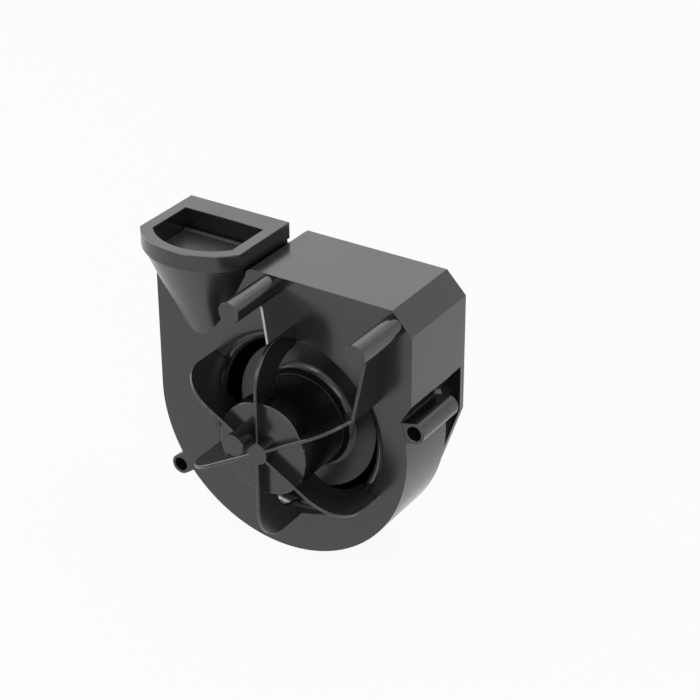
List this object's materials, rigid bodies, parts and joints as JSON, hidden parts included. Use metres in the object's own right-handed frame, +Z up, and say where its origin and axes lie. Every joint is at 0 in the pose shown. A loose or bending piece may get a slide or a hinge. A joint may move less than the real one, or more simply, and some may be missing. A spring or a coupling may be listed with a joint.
{
  "type": "centrifugal fan insert",
  "caption": "Flat black centrifugal fan insert with a scroll casing, a D-shaped outlet collar with a backdraft flap, a ribbed inlet guard that holds the motor, and standing pegs.",
  "frame": {"origin": "where the fan's axis meets the flat back face", "axes": "+X to the right seen from the front, +Y to the back out of the back face, +Z up towards the outlet"},
  "size_m": [0.2201, 0.127, 0.222],
  "materials": {
    "casing_plastic": "satin",
    "flap_plastic": "satin",
    "wheel_plastic": "satin",
    "can_paint": "satin",
    "zinc_steel": "satin",
    "core_steel": "matte",
    "copper_wire": "gloss",
    "bearing_bronze": "satin",
    "seal_rubber": "matte",
    "board_laminate": "satin",
    "capacitor_case": "gloss",
    "relay_case": "gloss",
    "tinned_brass": "satin"
  },
  "bodies": {
    "casing": {"front_cover": "casing_plastic", "volute_frame": "casing_plastic", "scroll_tongue": "casing_plastic", "back_plate": "casing_plastic", "casing_seal": "seal_rubber", "casing_screws": "zinc_steel", "inlet_guard": "casing_plastic", "outlet_nozzle": "casing_plastic", "outlet_collar": "casing_plastic", "flap_pin": "zinc_steel", "motor_can": "can_paint", "motor_end_plate": "can_paint", "front_bearing": "bearing_bronze", "rear_bearing": "bearing_bronze", "motor_screws": "zinc_steel", "stator_core": "core_steel", "stator_windings": "copper_wire", "circuit_board": "board_laminate", "run_capacitor": "capacitor_case", "timer_relay": "relay_case", "socket_contacts": "tinned_brass", "socket_housing": "casing_plastic"},
    "wheel": {"motor_shaft": "zinc_steel", "rotor_core": "core_steel", "impeller_hub": "wheel_plastic", "impeller_blades": "wheel_plastic", "shaft_nut": "zinc_steel"},
    "flap": {"backdraft_flap": "flap_plastic"}
  },
  "joints": [
    {"name": "wheel_spin", "type": "hinge", "parent": "casing", "child": "wheel", "pos_m": [0, 0, 0], "axis": [0, 1, 0], "continuous": true},
    {"name": "flap_hinge", "type": "hinge", "parent": "casing", "child": "flap", "pos_m": [-0.0778, -0.0372, 0.1045], "axis": [-1, 0, 0], "range_deg": [0, 75]}
  ]
}
